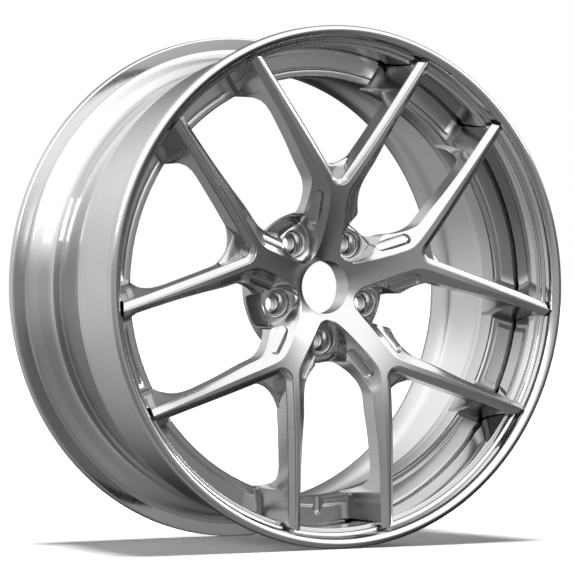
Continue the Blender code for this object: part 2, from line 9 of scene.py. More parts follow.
import bmesh
import bpy
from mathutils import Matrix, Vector

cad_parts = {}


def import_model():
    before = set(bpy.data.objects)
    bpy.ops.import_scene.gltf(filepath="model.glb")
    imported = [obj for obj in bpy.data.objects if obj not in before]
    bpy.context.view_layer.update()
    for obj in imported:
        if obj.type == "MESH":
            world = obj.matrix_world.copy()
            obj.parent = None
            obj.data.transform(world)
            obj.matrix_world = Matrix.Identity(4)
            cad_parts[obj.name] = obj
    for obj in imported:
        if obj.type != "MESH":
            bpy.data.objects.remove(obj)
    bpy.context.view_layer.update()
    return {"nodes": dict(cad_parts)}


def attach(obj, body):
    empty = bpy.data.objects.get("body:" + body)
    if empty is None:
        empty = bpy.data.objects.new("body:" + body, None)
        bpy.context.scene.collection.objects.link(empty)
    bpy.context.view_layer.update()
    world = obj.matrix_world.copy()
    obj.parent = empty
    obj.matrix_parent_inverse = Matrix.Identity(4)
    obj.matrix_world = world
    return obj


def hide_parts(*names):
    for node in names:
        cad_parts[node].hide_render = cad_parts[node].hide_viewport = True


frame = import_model()

MM = 0.001
BODY = "wheel"

# ---- driving sizes, as in the CAD ----------------------------------------
# Barrel
REAR_EDGE_Y = 234.9
MID_Y = REAR_EDGE_Y / 2
FLANGE_R = 271.3
BEAD_R = 254.0
WELL_OUTER_R = 237.0
WELL_INNER_R = 232.8
WALL_INNER_R = 249.0
MOUNT_FACE_Y = 74.6
MOUNT_BACK_Y = 86.0
# Forged centre
PAIRS = 5
TIP_R = 257.3
RING_OUTER_R = 245.5
RING_INNER_R = 220.3
RING_FACE_Y = 54.3
RING_BACK_Y = 74.3
BORDER_RISE = 1.9
BORE_LIP_R = 28.0
BORE_R = 33.3
BORE_LIP_Y = 38.1
BORE_STEP_Y = 59.0
FACE_POWER = 4.2
HUB_WALL_R = 80.4
HUB_FACE_Y = 72.5
LAND_Y = 44.0
ARM_ANGLE = radians(36.0)
FORK_AT = 96.0
FORK_ROUND = 13.2
POCKET_Y = 24.0
WEB_R = 129.0
WEB_BLEND = 12
# Lug holes, their counterbores and their seats
LUG_COUNT = 5
LUG_CIRCLE_R = 56.0
COUNTERBORE_R = 15
COUNTERBORE_Y = 51
SEAT_POCKET_R = 13
SEAT_POCKET_Y = 64
STUD_HOLE_R = 7.5
SEAT_R = 12.7
SEAT_BACK_Y = 63.7
# Pockets on the flanks
PILL_LATERAL = 22.3
PILL_R = 5.2
PILL_FROM = 70.0
PILL_TO = 95.0
PILL_INNER_LATERAL = 10.5
PILL_SLOPE = 0.6
# Assembly bolts
BOLT_COUNT = 20
BOLT_CIRCLE_R = 233.0
BOLT_TIP_Y = 60.6
BOLT_SHANK_R = 3.7
BOLT_COLLAR_R = 7.2
BOLT_COLLAR_Y = 86.3
BOLT_COLLAR_END_Y = 88.0
BOLT_HEAD_R = 5.4
BOLT_HEAD_DIP = 0.62
BOLT_POINTS = 12
# Valve and its relief in the ring
VALVE_Y = 98.5
VALVE_HOLE_R = 5.75
VALVE_BORE_R = 2.5
VALVE_NECK_R = 3.8
VALVE_SHANK_R = 5.3
VALVE_HEAD_R = 7.6
VALVE_WASHER_R = 8.2
RELIEF_Y = 53.0
RELIEF_R = 6


# ---- small geometry helpers ----------------------------------------------
def between(table, value):
    """Straight-line reading of a table of (value, result)."""
    if value <= table[0][0]:
        return table[0][1]
    for (low, a), (high, b) in zip(table, table[1:]):
        if value <= high:
            return a + (b - a) * (value - low) / (high - low)
    return table[-1][1]


def curve(table, value):
    """Smooth reading of a table: a cubic through its points, never overshooting."""
    if value <= table[0][0]:
        return table[0][1]
    if value >= table[-1][0]:
        return table[-1][1]
    last = len(table) - 1
    i = next(k for k in range(last) if value <= table[k + 1][0])

    def chord(k):
        return (table[k + 1][1] - table[k][1]) / (table[k + 1][0] - table[k][0])

    def slope(k):
        if k == 0 or k == last:
            return chord(min(k, last - 1))
        before = chord(k - 1)
        after = chord(k)
        if before * after <= 0:
            return 0.0
        return 2 * before * after / (before + after)

    width = table[i + 1][0] - table[i][0]
    t = (value - table[i][0]) / width
    t2 = t * t
    t3 = t * t * t
    start = (2 * t3 - 3 * t2 + 1) * table[i][1]
    leaving = (t3 - 2 * t2 + t) * (slope(i) * width)
    end = (3 * t2 - 2 * t3) * table[i + 1][1]
    arriving = (t3 - t2) * (slope(i + 1) * width)
    return start + leaving + end + arriving


def face_y(radius):
    """Depth of the concave front face at a radius."""
    left = max(0.0, TIP_R - radius) / (TIP_R - BORE_LIP_R)
    return BORE_LIP_Y * left**FACE_POWER


def arm_line(start, radius):
    """Sideways distance at which an arm's edge line crosses a radius."""
    if radius <= start:
        return 0.0
    slope = sin(ARM_ANGLE) / cos(ARM_ANGLE)
    a = 1 + slope * slope
    b = -2 * start * slope * slope
    c = start * start * slope * slope - radius * radius
    return ((-b + sqrt(b * b - 4 * a * c)) / (2 * a) - start) * slope


def fork_line(inset, radius):
    """The fork's rounded outline, moved inwards, at a radius."""
    centre = FORK_AT + FORK_ROUND / sin(ARM_ANGLE)
    nose = max(FORK_ROUND - inset, 0.5)
    start = centre - nose / sin(ARM_ANGLE)
    touch = hypot(centre - nose * sin(ARM_ANGLE), nose * cos(ARM_ANGLE))
    if radius >= touch:
        return arm_line(start, radius)
    if radius <= centre - nose:
        return 0.0
    along = (radius * radius + centre * centre - nose * nose) / (2 * centre)
    return sqrt(max(0.0, radius * radius - along * along))


FORK_TIP = FORK_AT + FORK_ROUND / sin(ARM_ANGLE) - FORK_ROUND

# Back of the centre: radius, depth.
BACK = [(BORE_LIP_R, BORE_STEP_Y), (33.25, BORE_STEP_Y), (BORE_R, HUB_FACE_Y - 1)]
BACK += [(34.3, HUB_FACE_Y), (79.6, HUB_FACE_Y), (HUB_WALL_R, HUB_FACE_Y - 0.8)]
BACK += [(80.45, 68.0)]
BACK += [(80.8, 60.0), (81.5, 53.5), (82.8, 48.0), (84.8, 43.6), (88.0, 40.4)]
BACK += [(92.0, 38.2)]
BACK += [(105.0, 34.0), (125.0, 31.0), (160.0, 27.0)]
BACK += [(195.0, 25.2), (203.0, 26.4), (209.0, 31.0), (213.3, 40.0), (216.6, 54.0)]
BACK += [(218.0, 64.0), (218.8, RING_BACK_Y), (RING_OUTER_R, RING_BACK_Y)]
BACK += [(245.52, RING_FACE_Y), (247.4, 53.8), (248.7, 32.0), (250.1, 15.5)]
BACK += [(253.1, 7.5), (256.6, 1.0), (TIP_R, 0.3)]

# Opening between two pairs: radius, sideways distance or depth.
GAP_TIP = 34.0
GAP_EDGE = [(34.0, 0.0), (34.6, 2.6), (36.0, 6.0), (39.0, 10.4), (44.0, 14.6)]
GAP_EDGE += [(50.0, 18.8), (56.0, 22.8), (64.5, 28.3), (74.7, 35.0), (85.7, 41.6)]
GAP_EDGE += [(94.0, 46.2), (98.5, 48.2), (103.4, 49.5), (112.5, 50.3), (132.8, 50.6)]
GAP_EDGE += [(154.5, 50.9), (206.8, 52.6), (256.8, 54.3)]
GAP_SHELF = [(34.0, 0.0), (34.6, 1.2), (36.0, 3.8), (39.0, 7.6), (44.0, 11.6)]
GAP_SHELF += [(50.0, 15.4), (56.0, 18.0), (64.5, 19.8), (74.7, 19.4), (80.4, 18.6)]
GAP_SHELF += [(83.0, 18.8), (86.8, 21.4), (92.0, 26.0), (97.0, 30.0), (109.8, 37.6)]
GAP_SHELF += [(119.2, 40.7), (136.6, 41.8), (162.2, 44.4), (185.0, 46.2), (197.0, 46.9)]
GAP_SHELF += [(257.0, 48.6)]
GAP_DROP = [(34.0, 0.0), (36.0, 1.6), (39.0, 3.0), (44.0, 3.8), (56.0, 6.0)]
GAP_DROP += [(64.5, 8.8), (74.7, 12.0), (85.7, 14.2), (97.0, 12.8), (109.8, 9.0)]
GAP_DROP += [(119.2, 6.3), (220.0, 6.3), (257.0, 5.0)]
GAP_LAND = [(34.0, 0.0), (35.0, 0.6), (36.0, 2.2), (39.0, 6.0), (44.0, 10.0)]
GAP_LAND += [(50.0, 13.6), (56.0, 16.2), (64.5, 17.6), (72.0, 17.0), (80.4, 14.5)]
GAP_FLOOR = [(34.0, 33.5), (35.0, 37.0), (36.0, 39.0), (39.0, 42.4), (44.0, LAND_Y)]
GAP_FLOOR += [(69.5, LAND_Y), (71.5, 44.6), (73.3, 46.8), (79.0, 62.0), (80.4, 65.5)]
# How far a spoke's side has spread at the ring's face: radius, distance.
FLARE = [(196.0, 0.0), (208.3, 1.2), (214.3, 3.4), (218.3, 6.4), (220.2, 9.0)]
FLARE += [(245.5, 8.5), (257.3, 7.0)]


def flare(radius):
    return curve(FLARE, radius)


def back_y(radius):
    return between(BACK, radius)


# ---- the forged centre's surface -----------------------------------------
# Depth below the face at a distance inside the fork's edge.
FORK_DROP = [(0.0, 0.0), (0.35, 0.12), (0.7, 0.5), (0.9, 1.2), (0.95, 2.0)]
FORK_DROP += [(1.6, 2.1), (6.2, 4.4), (6.8, 5.0), (7.1, 6.2)]
FORK_WALL = 7.2
FORK_SHELF_END = 7.1
RING_FOOT_Y = RING_FACE_Y + 1.4
FLOOR_SHARES = (0.93, 0.86, 0.75, 0.5, 0.25, 0.0)
# The raised bead round the ring's openings: distance from its edge, rise.
BEAD_OUT = [(0.0, -1.6), (0.5, -0.4), (1.2, 0.9), (2.4, BORDER_RISE)]
BEAD_IN = [(7.0, BORDER_RISE), (8.6, 1.2), (9.3, -0.25), (10.2, 0.0)]
BEAD_MIDDLE = 5
# The web's rounded rear edge: distance past the edge, extra depth.
WEB_EDGE = [(-3.0, 0.0), (-1.0, 0.6), (0.0, 1.6)]
WALL_STEPS = (0.0, 0.06, 0.18, 0.32, 0.48, 0.62, 0.76, 0.88, 1.0)


def spread(top, depth, amount):
    """How far a spoke's side has moved out at a depth below its shelf."""
    t = max(0.0, min(1.0, (depth - top) / (RING_FACE_Y - top)))
    return amount * t * t


def border(radius, base_gap):
    """Depth of the ring's face; base_gap is the distance to a spoke's foot."""
    near = min(radius - RING_INNER_R, base_gap)
    side = BEAD_OUT if near < BEAD_MIDDLE else BEAD_IN
    return RING_FACE_Y - between(side, near)


def floor_line(radius, hole, floor_y):
    """The floor of an opening, or the ring's face there, to its middle line."""
    line = [(hole, floor_y)]
    for share in FLOOR_SHARES:
        y = floor_y
        if radius >= RING_INNER_R:
            y = border(radius, hole * (1 - share))
        line.append((hole * share, y))
    return line


def crosses_air(radius, inner_edge):
    """Whether an opening goes right through the centre at this radius."""
    return inner_edge < radius < RING_INNER_R or radius > RING_OUTER_R


def clipped(line, limit):
    """A half section with all that lies deeper than limit put at the limit."""
    result = []
    for i, (v, y) in enumerate(line):
        if y <= limit:
            result.append((v, y))
            continue
        if i == 0:
            result.append((v, limit))
            continue
        v0, y0 = line[i - 1]
        if y0 >= limit:
            result.append(result[-1])
            continue
        t = (limit - y0) / (y - y0)
        result.append((v0 + (v - v0) * t, limit))
    return result


def fork_foot_y(radius, shelf_y):
    """Depth at which the wall beside a spoke ends, inside the fork."""
    inside = radius - FORK_TIP
    if inside <= FORK_WALL:
        return shelf_y
    if radius >= RING_INNER_R:
        return RING_FOOT_Y
    if radius < WEB_R + WEB_BLEND - 1:
        pocket = [(0, shelf_y), (0.5, POCKET_Y - 2), (1.6, POCKET_Y)]
        return between(pocket, inside - FORK_WALL)
    return back_y(radius)


def fork_hole(radius, foot):
    """Half width of the opening behind the web, which closes round its end."""
    if radius <= WEB_R:
        return foot * 0.2
    if radius < WEB_R + WEB_BLEND:
        along = (radius - WEB_R) / WEB_BLEND
        return foot * sqrt(min(1.0, along * (2 - along)))
    return foot


def fork_section(radius):
    """(points, through) from the face's edge to the pair's middle line."""
    top = face_y(radius)
    inside = radius - FORK_TIP
    line = []
    for inset, drop in FORK_DROP:
        if inside <= inset:
            reach = between(FORK_DROP, max(0.0, inside))
            line.append((0.0, top + reach))
        else:
            line.append((fork_line(inset, radius), top + drop))
    shelf = fork_line(FORK_WALL, radius) if inside > FORK_WALL else 0.0
    shelf_y = top + between(FORK_DROP, min(max(inside, 0.0), FORK_SHELF_END))
    foot_y = fork_foot_y(radius, shelf_y)
    amount = flare(radius)
    for t in WALL_STEPS:
        y = shelf_y + (foot_y - shelf_y) * t
        line.append((max(shelf - spread(shelf_y, y, amount), 0.0), y))
    floor_y = foot_y
    if WEB_R - 3 < radius < WEB_R + WEB_BLEND - 1:
        floor_y += between(WEB_EDGE, radius - WEB_R)
    line += floor_line(radius, fork_hole(radius, line[-1][0]), floor_y)
    return clipped(line, back_y(radius)), crosses_air(radius, WEB_R)


def gap_foot(radius, top, shelf):
    """(sideways distance, depth) at which the wall beside a spoke ends."""
    if radius <= HUB_WALL_R:
        land_y = curve(GAP_FLOOR, radius) if radius > GAP_TIP else top
        return min(curve(GAP_LAND, radius), shelf), land_y
    if radius >= RING_INNER_R:
        return shelf, RING_FOOT_Y
    return shelf, back_y(radius)


def gap_section(radius):
    """(points, through) from the face's edge to the middle between pairs."""
    top = face_y(radius)
    edge = curve(GAP_EDGE, radius)
    shelf = min(curve(GAP_SHELF, radius), edge)
    drop = curve(GAP_DROP, radius)
    wide = edge - shelf
    line = [(edge, top), (edge - 0.05 * wide, top + 0.015 * drop)]
    for t in (0.11, 0.3, 0.5, 0.7, 0.88):
        line.append((edge - wide * t, top + drop * (t - 0.03)))
    line.append((shelf + 0.04 * wide, top + drop * 0.96))
    shelf_y = top + drop
    foot, foot_y = gap_foot(radius, top, shelf)
    amount = flare(radius)
    for t in WALL_STEPS:
        y = shelf_y + (foot_y - shelf_y) * t
        v = shelf
        if radius <= HUB_WALL_R:
            y = shelf_y + (foot_y - shelf_y) * sin(t * pi / 2)
            v = foot + (shelf - foot) * cos(t * pi / 2)
        line.append((max(v - spread(shelf_y, y, amount), 0.0), y))
    line += floor_line(radius, line[-1][0], foot_y)
    return clipped(line, back_y(radius)), crosses_air(radius, HUB_WALL_R)


FINE_ROW = 0.4
FINE_ROWS_END = 40
ROW = 2.2
CLOSEST_ROWS = 0.012


def centre_rows():
    """Radii of the surface's rows, closer together where it bends."""
    rows = [BORE_LIP_R, 28.3, 28.8, 30.0, 31.5, 33.25, BORE_R, 33.8]
    radius = GAP_TIP
    while radius < FINE_ROWS_END:
        rows.append(radius)
        radius += FINE_ROW
    while radius < TIP_R - 4:
        rows.append(radius)
        radius += ROW
    rows += [FORK_TIP + step for step in (0.02, 0.1, 0.2, 0.35, 0.55, 0.75, 0.95, 1.2)]
    rows += [FORK_TIP + step for step in (1.6, 2.2, 3.0, 4.0, 5.0, 6.0, 6.8, 7.15)]
    rows += [FORK_TIP + FORK_WALL + step for step in (0.02, 0.15, 0.35, 0.6, 0.9, 1.3)]
    rows += [HUB_WALL_R, 80.42, 80.45, 80.6, 70.2, 70.9, 71.6, 72.4, 73.2]
    rows += [WEB_R - 2, WEB_R - 1, WEB_R - 0.02, WEB_R + 0.02, WEB_R + 0.3, WEB_R + 0.8]
    rows += [WEB_R + step for step in (1.5, 2.4, 3.6, 5.0, 7.0, 9.0, 10.98, 11.02, 12.0)]
    rows += [RING_INNER_R - step for step in (0.02, 0.3, 0.8, 1.5, 2.5, 4.0, 6.0, 8.0)]
    rows += [RING_INNER_R + step for step in (0.0, 0.25, 0.5, 0.85, 1.2, 1.8, 2.4, 5.0)]
    rows += [RING_INNER_R + step for step in (7.0, 7.8, 8.6, 9.0, 9.3, 9.7, 10.2)]
    rows += [RING_OUTER_R, RING_OUTER_R + 0.02, 246.2, 247.4, 248.0, 248.7, 249.4, 250.1]
    rows += [251.5, 253.1, 254.2, 255.4, 256.2, 256.6, 257.0, TIP_R - 0.02]
    rows += [radius for radius, _ in BACK if radius > 80 and radius != TIP_R]
    rows.sort()
    kept = [rows[0]]
    for radius in rows[1:]:
        if radius - kept[-1] > CLOSEST_ROWS:
            kept.append(radius)
    return kept


FACE_SHARES = (0.03, 0.12, 0.3, 0.5, 0.7, 0.88, 0.97)
# Turn in radians that keeps the points of a narrow opening's row apart.
TINY = 0.003


def centre_sector():
    """Rows of (angle from the pair's line, y) for half a pair, and what is open."""
    sector = []
    for radius in centre_rows():
        fork, fork_open = fork_section(radius)
        gap, gap_open = gap_section(radius)
        row = []
        last = len(fork) - 1
        apart = TINY if radius > FORK_TIP else 0.0
        for i, (v, y) in enumerate(reversed(fork)):
            angle = asin(min(1.0, max(v, 0.0) / radius)) + apart * i / last
            row.append((angle, y))
        left = row[-1][0]
        far = []
        last = len(gap) - 1
        apart = TINY if radius > GAP_TIP else 0.0
        for i, (v, y) in enumerate(gap):
            angle = ARM_ANGLE - asin(min(1.0, max(v, 0.0) / radius))
            far.append((angle - apart * (1 - i / last), y))
        right = far[0][0]
        top = min(face_y(radius), back_y(radius))
        for share in FACE_SHARES:
            row.append((left + (right - left) * share, top))
        row += far
        sector.append((radius, row, fork_open, gap_open))
    return sector, len(fork), len(gap)


# Columns of the floor on either side that an opening leaves empty.
OPEN_COLUMNS = 6
SAME_DEPTH = 1e-6
MERGE_M = 1e-6


def at_back(radius, row, j):
    """Whether a cell's front lies on its back, so that it holds no metal."""
    deep = back_y(radius)
    return all(abs(row[k][1] - deep) < SAME_DEPTH for k in (j, j + 1))


def solid_cells(sector):
    """Whether each cell of the half pair, by its row and column, holds metal."""
    columns = len(sector[0][1]) - 1
    cells = {}
    for i in range(len(sector) - 1):
        near, low, fork_low, gap_low = sector[i]
        far, high, fork_high, gap_high = sector[i + 1]
        for j in range(columns):
            open_here = fork_low and fork_high and j < OPEN_COLUMNS
            open_here |= gap_low and gap_high and j >= columns - OPEN_COLUMNS
            flat = at_back(near, low, j) and at_back(far, high, j)
            cells[i, j] = not (open_here or flat)
    return cells


def sector_points(mesh, sector, pair, side):
    """Rows of front points and of back points for one half of a pair."""
    front = []
    back = []
    for radius, row, _, _ in sector:
        deep = back_y(radius)
        line = []
        under = []
        for angle, y in row:
            turn = 2 * pi * pair / PAIRS + side * angle
            x = radius * sin(turn) * MM
            z = radius * cos(turn) * MM
            line.append(mesh.verts.new((x, (y - MID_Y) * MM, z)))
            under.append(mesh.verts.new((x, (deep - MID_Y) * MM, z)))
        front.append(line)
        back.append(under)
    return front, back


def cell_faces(cells, front, back, face_columns):
    """(corners, material slot) of the faces that close the solid cells."""
    last = len(front[0]) - 2
    faces = []
    for (i, j), is_solid in cells.items():
        if not is_solid:
            continue
        a, b = front[i][j], front[i][j + 1]
        c, d = front[i + 1][j + 1], front[i + 1][j]
        e, f = back[i][j], back[i][j + 1]
        g, h = back[i + 1][j + 1], back[i + 1][j]
        faces.append(((a, b, c, d), int(j not in face_columns)))
        faces.append(((h, g, f, e), 1))
        if not cells.get((i - 1, j)):
            faces.append(((b, a, e, f), 1))
        if not cells.get((i + 1, j)):
            faces.append(((d, c, g, h), 1))
        if j and not cells.get((i, j - 1)):
            faces.append(((a, d, h, e), 1))
        if j < last and not cells.get((i, j + 1)):
            faces.append(((c, b, f, g), 1))
    return faces


def forged_centre():
    sector, fork_count, gap_count = centre_sector()
    cells = solid_cells(sector)
    face_columns = range(fork_count - 1, len(sector[0][1]) - gap_count)
    mesh = bmesh.new()
    faces = []
    for pair in range(PAIRS):
        for side in (1, -1):
            front, back = sector_points(mesh, sector, pair, side)
            for corners, slot in cell_faces(cells, front, back, face_columns):
                faces.append((corners if side == -1 else corners[::-1], slot))
    for corners, slot in faces:
        face = mesh.faces.new(corners)
        face.material_index = slot
        face.smooth = True
    bmesh.ops.remove_doubles(mesh, verts=mesh.verts, dist=MERGE_M)
    return made_object("forged_centre_fine", mesh)


# ---- objects -------------------------------------------------------------
SHARP_DEGREES = 24


def made_object(name, shape, angle=SHARP_DEGREES):
    mesh = bpy.data.meshes.new(name)
    shape.to_mesh(mesh)
    shape.free()
    made = bpy.data.objects.new(name, mesh)
    bpy.context.scene.collection.objects.link(made)
    mesh.shade_smooth()
    mesh.set_sharp_from_angle(angle=radians(angle))
    return made


# The largest part of an edge that the rounding of one of its corners may take.
MOST_ROUNDING = 0.45


def rounded(profile, radius, steps=4):
    """A closed profile of (radius, along, rounding) with its corners rounded."""
    points = []
    count = len(profile)
    for i, point in enumerate(profile):
        here = Vector(point[:2])
        before = Vector(profile[i - 1][:2])
        after = Vector(profile[(i + 1) % count][:2])
        size = point[2] if len(point) > 2 else radius
        if here.x == 0 or size == 0:
            points.append(tuple(here))
            continue
        back = before - here
        on = after - here
        reach = min(size, back.length * MOST_ROUNDING, on.length * MOST_ROUNDING)
        start = here + back.normalized() * reach
        end = here + on.normalized() * reach
        for step in range(steps + 1):
            t = step / steps
            spot = start * (1 - t) ** 2 + here * 2 * t * (1 - t) + end * t * t
            points.append(tuple(spot))
    return points


def turned(name, profile, place, steps, angle=SHARP_DEGREES):
    """A body turned from a closed profile, set in place by a function."""
    shape = bmesh.new()
    rings = []
    for step in range(steps):
        turn = 2 * pi * step / steps
        ring = []
        for radius, along in profile:
            x, y, z = place(radius * sin(turn), along, radius * cos(turn))
            ring.append(shape.verts.new((x * MM, (y - MID_Y) * MM, z * MM)))
        rings.append(ring)
    count = len(profile)
    for step in range(steps):
        here, there = rings[step], rings[(step + 1) % steps]
        for i in range(count):
            j = (i + 1) % count
            if profile[i][0] or profile[j][0]:
                shape.faces.new((here[i], here[j], there[j], there[i]))
    bmesh.ops.remove_doubles(shape, verts=shape.verts, dist=MERGE_M)
    bmesh.ops.dissolve_degenerate(shape, edges=shape.edges, dist=MERGE_M)
    bmesh.ops.recalc_face_normals(shape, faces=shape.faces)
    return made_object(name, shape, angle)


def on_axle(x, along, z):
    return x, along, z


def beside_axle(x0, z0):
    """A line parallel to the axle."""
    return lambda x, along, z: (x0 + x, along, z0 + z)


def at_foot(a, along, b):
    """The valve's radial line at the foot of the wheel."""
    return a, VALVE_Y + b, -along


def relief_place(a, along, b):
    """The radial line of the valve's relief in the ring."""
    return a, RELIEF_Y + b, -along


def clock(angle, along, lateral=0.0):
    """(x, z) of a point along an axis at this clock angle, and beside it."""
    x = along * sin(angle) + lateral * cos(angle)
    z = along * cos(angle) - lateral * sin(angle)
    return x, z


def cut(target, cutters):
    """Cuts closed shapes out of a mesh and applies the result."""
    for cutter in cutters:
        modifier = target.modifiers.new(cutter.name, "BOOLEAN")
        modifier.solver = "EXACT"
        modifier.object = cutter
    graph = bpy.context.evaluated_depsgraph_get()
    mesh = bpy.data.meshes.new_from_object(target.evaluated_get(graph))
    target.modifiers.clear()
    target.data = mesh
    for cutter in cutters:
        bpy.data.objects.remove(cutter)
    mesh.shade_smooth()
    mesh.set_sharp_from_angle(angle=radians(SHARP_DEGREES))


def merged(name, objects):
    """One object made from several, which it takes the place of."""
    shape = bmesh.new()
    for one in objects:
        shape.from_mesh(one.data)
        bpy.data.objects.remove(one)
    return made_object(name, shape)


def skinned(name, rings):
    """A closed mesh over rings of points in millimetres, from end to end."""
    shape = bmesh.new()
    made = []
    for ring in rings:
        made.append([shape.verts.new((x * MM, (y - MID_Y) * MM, z * MM)) for x, y, z in ring])
    join_rings(shape, made)
    shape.faces.new(made[0])
    shape.faces.new(made[-1][::-1])
    bmesh.ops.recalc_face_normals(shape, faces=shape.faces)
    return made_object(name, shape)


def join_rings(shape, rings):
    """Faces between each ring of points and the next."""
    count = len(rings[0])
    for low, high in zip(rings, rings[1:]):
        for j in range(count):
            k = (j + 1) % count
            shape.faces.new((low[j], low[k], high[k], high[j]))


def lug_place(number):
    """(x, z) of a lug hole, counted from 0."""
    return clock(2 * pi * (number + 0.5) / LUG_COUNT, LUG_CIRCLE_R)


def lug_cutter(number):
    """A lug's counterbore, seat pocket and stud hole."""
    x, z = lug_place(number)
    profile = [(0, 5), (COUNTERBORE_R, 5, 0), (COUNTERBORE_R, COUNTERBORE_Y - 1.4, 0)]
    profile += [(COUNTERBORE_R - 1.1, COUNTERBORE_Y, 0.6)]
    profile += [(SEAT_POCKET_R, COUNTERBORE_Y + 0.2, 0), (SEAT_POCKET_R, SEAT_POCKET_Y, 0)]
    profile += [(STUD_HOLE_R, SEAT_POCKET_Y, 0), (STUD_HOLE_R, 85, 0), (0, 85)]
    return turned("lug_cutter", rounded(profile, 0.4), beside_axle(x, z), 72)


# A flank pocket from above its rim to its floor: inset, depth.
PILL_WALL = [(-0.6, -12.0), (-0.6, -0.4), (0.0, 0.4), (0.3, 2.0), (1.1, 3.1)]
PILL_WALL += [(2.4, 3.6), (4.0, 3.8)]
PILL_END_STEPS = 12


def pill_cutter(pair, side):
    """Round-ended pocket whose floor follows the flank."""
    rings = []
    for inset, depth in PILL_WALL:
        ring = []
        for half, end in ((0, PILL_TO), (1, PILL_FROM)):
            for step in range(PILL_END_STEPS + 1):
                turn = pi * (half + step / PILL_END_STEPS)
                along = end + (PILL_R - inset) * sin(turn)
                lateral = PILL_LATERAL + (PILL_R - inset) * cos(turn)
                flank = face_y(hypot(along, lateral))
                flank += (lateral - PILL_INNER_LATERAL) * PILL_SLOPE
                x, z = clock(2 * pi * pair / PAIRS, along, side * lateral)
                ring.append((x, flank + depth, z))
        rings.append(ring)
    return skinned("pill_cutter", rings)


def finish_centre(centre):
    """Cuts the lug holes, the flank pockets and the valve's relief."""
    cutters = [lug_cutter(number) for number in range(LUG_COUNT)]
    pills = [pill_cutter(pair, side) for pair in range(PAIRS) for side in (-1, 1)]
    relief = [(0, 212), (RELIEF_R, 212), (RELIEF_R, 235), (0, 241)]
    notch = turned("relief_cutter", rounded(relief, 0.3), relief_place, 48)
    cut(centre, [merged("lug_cutters", cutters), merged("pill_cutters", pills), notch])


def barrel():
    """The barrel with both flanges, from (radius, depth, rounding) profiles."""
    rear = REAR_EDGE_Y
    outer = [(FLANGE_R, 0.0, 1.2), (FLANGE_R, 8.0, 1.0), (260.5, 9.6, 2.0)]
    outer += [(254.9, 11.6, 3.0), (BEAD_R, 16.2, 2.0), (BEAD_R, 103.0, 1.2)]
    outer += [(251.8, 106.0, 1.4), (251.8, 112.0, 1.4), (249.8, 119.0, 2.0)]
    outer += [(243.8, 166.4, 2.5), (WELL_OUTER_R, 179.0, 6.0)]
    outer += [(WELL_OUTER_R, 200.9, 6.0), (247.2, 213.4, 2.5), (BEAD_R, 223.9, 3.0)]
    outer += [(257.0, 225.6, 3.0), (270.1, 225.9, 1.0), (FLANGE_R, 226.9, 0.8)]
    outer += [(FLANGE_R, rear, 1.2), (269.3, rear + 2.8, 2.0), (266.0, rear + 3.5, 3.0)]
    outer += [(262.3, rear + 2.5, 3.0)]
    inner = [(258.8, rear - 2.0, 3.0), (WALL_INNER_R, rear - 10.5, 4.0)]
    inner += [(242.7, 214.9, 3.0), (WELL_INNER_R, 201.9, 6.0), (WELL_INNER_R, 177.9, 6.0)]
    inner += [(239.0, 165.4, 4.0), (WALL_INNER_R, 110.0, 4.0), (WALL_INNER_R, 90.5, 3.0)]
    inner += [(244.5, MOUNT_BACK_Y, 3.0), (RING_INNER_R, MOUNT_BACK_Y, 0.8)]
    inner += [(RING_INNER_R, MOUNT_FACE_Y, 0.4), (245.8, MOUNT_FACE_Y, 0)]
    inner += [(245.8, 60.3, 0), (248.8, 60.3, 0), (248.8, RING_FACE_Y, 0.5)]
    inner += [(251.0, 16.8, 0.6), (256.4, 16.0, 0.4), (256.9, 13.8, 0.5)]
    inner += [(257.5, 13.2, 0.4), (258.2, 7.0, 2.0), (259.7, 2.0, 2.0)]
    inner += [(262.3, -1.9, 3.0), (266.0, -3.5, 3.0), (269.3, -2.6, 2.5)]
    made = turned("barrel_fine", rounded(outer + inner, 1.0, 4), on_axle, 216)
    hole = [(0, 240), (VALVE_HOLE_R, 240), (VALVE_HOLE_R, 259), (0, 259)]
    cut(made, [turned("valve_hole", hole, at_foot, 40)])
    return made


# ---- materials -----------------------------------------------------------
class Nodes:
    """Short way to write a material's node tree."""

    def __init__(self, name):
        self.material = bpy.data.materials.new(name)
        self.material.use_nodes = True
        self.tree = self.material.node_tree
        self.shader = self.tree.nodes["Principled BSDF"]

    def add(self, kind, **settings):
        node = self.tree.nodes.new(kind)
        for key, value in settings.items():
            setattr(node, key, value)
        return node

    def link(self, out, into):
        self.tree.links.new(out, into)

    def noise(self, scale, detail=4.0, stretch=(1, 1, 1)):
        place = self.add("ShaderNodeTexCoord")
        mapping = self.add("ShaderNodeMapping")
        mapping.inputs["Scale"].default_value = stretch
        noise = self.add("ShaderNodeTexNoise")
        noise.inputs["Scale"].default_value = scale
        noise.inputs["Detail"].default_value = detail
        self.link(place.outputs["Object"], mapping.inputs["Vector"])
        self.link(mapping.outputs["Vector"], noise.inputs["Vector"])
        return noise.outputs["Fac"]

    def ramp(self, source, low, high, start=0.3, end=0.7):
        span = self.add("ShaderNodeMapRange")
        span.inputs["From Min"].default_value = start
        span.inputs["From Max"].default_value = end
        span.inputs["To Min"].default_value = low
        span.inputs["To Max"].default_value = high
        self.link(source, span.inputs["Value"])
        return span.outputs["Result"]

    def bump(self, source, strength, distance):
        bump = self.add("ShaderNodeBump")
        bump.inputs["Strength"].default_value = strength
        bump.inputs["Distance"].default_value = distance
        self.link(source, bump.inputs["Height"])
        self.link(bump.outputs["Normal"], self.shader.inputs["Normal"])


NEUTRAL = (1, 1, 1.015)
METAL_GRAIN_M = 0.00001
DULL_GRAIN_M = 0.0001


